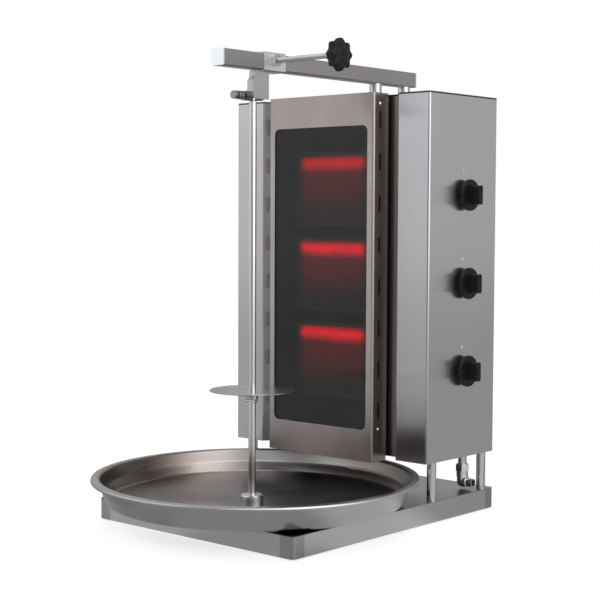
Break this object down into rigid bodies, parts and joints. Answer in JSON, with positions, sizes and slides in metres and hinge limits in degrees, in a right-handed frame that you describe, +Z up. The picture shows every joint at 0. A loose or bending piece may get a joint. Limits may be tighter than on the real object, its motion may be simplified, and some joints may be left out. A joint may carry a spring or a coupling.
{
  "type": "gas doner kebab grill",
  "caption": "Upright gas grill with a glass-fronted burner cabinet, control knobs, a turning spit with meat disc under a beam, and a round drip pan on a base tray.",
  "frame": {"origin": "middle of the overall box at the level of the feet", "axes": "+Z up along the spit, -Y to the front, +X to the knob side"},
  "size_m": [0.61, 0.7716, 0.8887],
  "materials": {
    "sheet_steel": "brushed stainless sheet",
    "polished_steel": "polished steel",
    "dark_steel": "heat-darkened",
    "plaque": "matt, glows when lit",
    "dark_glass": "dark heat-proof glass",
    "black_plastic": "satin moulded",
    "brass": "machined",
    "zinc_fitting": "zinc plated",
    "rubber": "matt"
  },
  "bodies": {
    "cabinet": {"base_tray": "sheet_steel", "base_feet": "rubber", "support_posts": "polished_steel", "post_bolts": "polished_steel", "cabinet_floor": "sheet_steel", "right_cover": "sheet_steel", "left_cover": "sheet_steel", "top_cover": "sheet_steel", "back_panel": "sheet_steel", "cover_screws": "polished_steel", "roof_channel": "sheet_steel", "front_strut": "polished_steel", "rear_mast": "polished_steel", "mast_clamps": "sheet_steel", "beam_tube": "sheet_steel", "beam_caps": "sheet_steel", "radiant_frame": "sheet_steel", "glass_pane": "dark_glass", "glass_clips": "sheet_steel", "clip_studs": "polished_steel", "burner_box": "dark_steel", "burner_housing_1": "dark_steel", "burner_housing_2": "dark_steel", "burner_housing_3": "dark_steel", "ceramic_plaques": "plaque", "injectors": "brass", "gas_tubes": "polished_steel", "thermocouples": "polished_steel", "manifold_pipe": "polished_steel", "gas_valve_1": "brass", "gas_valve_2": "brass", "gas_valve_3": "brass", "inlet_union": "zinc_fitting", "inlet_elbow": "zinc_fitting"},
    "lower_carriage": {"drip_pan": "sheet_steel", "spit_hub": "polished_steel", "guide_plate": "sheet_steel"},
    "spit": {"spit": "polished_steel", "stop_pin": "polished_steel"},
    "disc": {"spit_disc": "polished_steel"},
    "upper_carriage": {"clamp_sleeve": "sheet_steel", "clamp_nut": "polished_steel", "spit_holder": "sheet_steel", "bearing_block": "brass", "lock_nut": "polished_steel"},
    "clamp_tip": {"clamp_tip": "brass"},
    "clamp_screw": {"clamp_spindle": "polished_steel", "star_knob": "black_plastic"},
    "lock_tip": {"lock_tip": "brass"},
    "lock_screw": {"lock_screw": "polished_steel"},
    "valve_plug_1": {"valve_plug_1": "brass"},
    "valve_plug_2": {"valve_plug_2": "brass"},
    "valve_plug_3": {"valve_plug_3": "brass"},
    "knob_1": {"knob_1": "black_plastic", "valve_stem_1": "polished_steel"},
    "knob_2": {"knob_2": "black_plastic", "valve_stem_2": "polished_steel"},
    "knob_3": {"knob_3": "black_plastic", "valve_stem_3": "polished_steel"}
  },
  "joints": [
    {"name": "carriage_slide", "type": "slide", "parent": "cabinet", "child": "lower_carriage", "axis": [0, -1, 0], "range_m": [-0.01, 0.06]},
    {"name": "spit_spin", "type": "hinge", "parent": "lower_carriage", "child": "spit", "pos_m": [0, -0.0917, 0], "axis": [0, 0, 1], "continuous": true},
    {"name": "disc_height", "type": "slide", "parent": "spit", "child": "disc", "axis": [0, 0, 1], "range_m": [0, 0.45]},
    {"name": "sleeve_slide", "type": "slide", "parent": "cabinet", "child": "upper_carriage", "axis": [0, -1, 0], "range_m": [-0.01, 0.06]},
    {"name": "clamp_advance", "type": "slide", "parent": "upper_carriage", "child": "clamp_tip", "axis": [1, 0, 0], "range_m": [0, 0.003]},
    {"name": "clamp_turn", "type": "hinge", "parent": "clamp_tip", "child": "clamp_screw", "pos_m": [0.1, -0.0511, 0.859], "axis": [1, 0, 0], "range_deg": [0, 720]},
    {"name": "lock_advance", "type": "slide", "parent": "upper_carriage", "child": "lock_tip", "axis": [0, -1, 0], "range_m": [0, 0.0025]},
    {"name": "lock_turn", "type": "hinge", "parent": "lock_tip", "child": "lock_screw", "pos_m": [0, -0.12, 0.792], "axis": [0, -1, 0], "range_deg": [0, 720]},
    {"name": "knob_1_turn", "type": "hinge", "parent": "cabinet", "child": "valve_plug_1", "pos_m": [0.24, 0.2358, 0.2811], "axis": [1, 0, 0], "range_deg": [0, 180]},
    {"name": "knob_1_push", "type": "slide", "parent": "valve_plug_1", "child": "knob_1", "axis": [-1, 0, 0], "range_m": [0, 0.004], "stiffness_N_per_m": 1500, "springref_m": -0.002},
    {"name": "knob_2_turn", "type": "hinge", "parent": "cabinet", "child": "valve_plug_2", "pos_m": [0.24, 0.2358, 0.4481], "axis": [1, 0, 0], "range_deg": [0, 180]},
    {"name": "knob_2_push", "type": "slide", "parent": "valve_plug_2", "child": "knob_2", "axis": [-1, 0, 0], "range_m": [0, 0.004], "stiffness_N_per_m": 1500, "springref_m": -0.002},
    {"name": "knob_3_turn", "type": "hinge", "parent": "cabinet", "child": "valve_plug_3", "pos_m": [0.24, 0.2358, 0.6151], "axis": [1, 0, 0], "range_deg": [0, 180]},
    {"name": "knob_3_push", "type": "slide", "parent": "valve_plug_3", "child": "knob_3", "axis": [-1, 0, 0], "range_m": [0, 0.004], "stiffness_N_per_m": 1500, "springref_m": -0.002}
  ],
  "couplings": [
    {"joint": "sleeve_slide", "follows": "carriage_slide", "ratio": 1},
    {"joint": "clamp_turn", "follows": "clamp_advance", "rad_per_m": 4188.8},
    {"joint": "lock_turn", "follows": "lock_advance", "rad_per_m": 5026.5}
  ]
}
